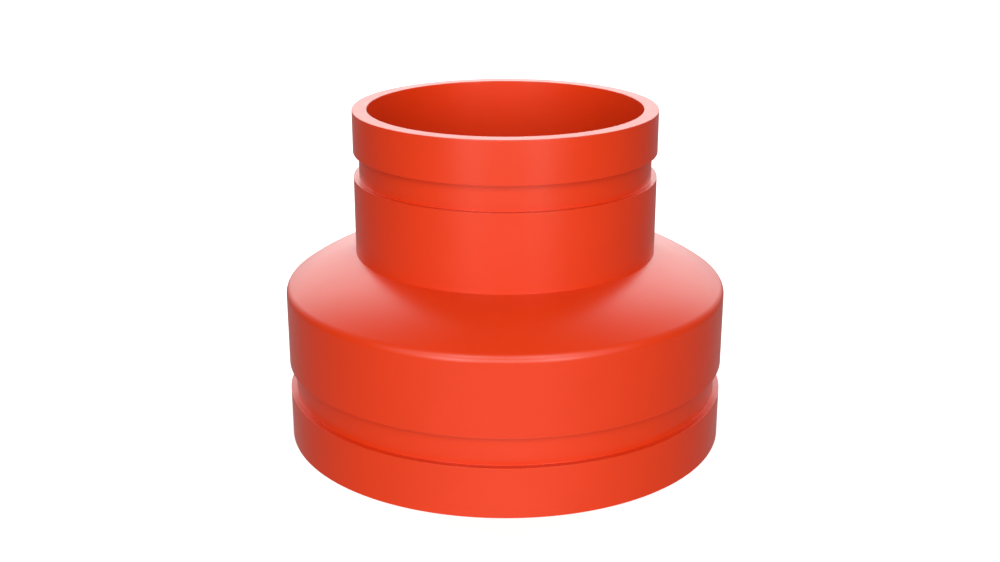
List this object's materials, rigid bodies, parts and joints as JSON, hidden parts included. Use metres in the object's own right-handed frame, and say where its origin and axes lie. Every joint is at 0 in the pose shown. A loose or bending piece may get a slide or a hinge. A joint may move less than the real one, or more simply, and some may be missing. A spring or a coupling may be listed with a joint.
{
  "type": "grooved concentric reducer",
  "caption": "Grooved-end concentric pipe reducer: large pipe end below, domed shoulder and smaller pipe end above, each with a coupling groove, in orange-red enamel.",
  "frame": {"origin": "centre of the large end's face, on the pipe axis, where the fitting stands", "axes": "+Z along the pipe axis from the large end to the small end; the fitting is round, so X and Y are free"},
  "size_m": [0.1683, 0.1682, 0.127],
  "materials": {
    "enamel_on_pipe": "semi-gloss orange-red enamel on steel pipe",
    "enamel_on_ring": "semi-gloss orange-red enamel on pressed steel",
    "enamel_on_weld": "semi-gloss orange-red enamel over weld metal"
  },
  "bodies": {
    "root": {"large_end_nipple": "enamel_on_pipe", "corner_weld": "enamel_on_weld", "domed_ring": "enamel_on_ring", "neck_weld": "enamel_on_weld", "small_end_nipple": "enamel_on_pipe"}
  },
  "joints": []
}
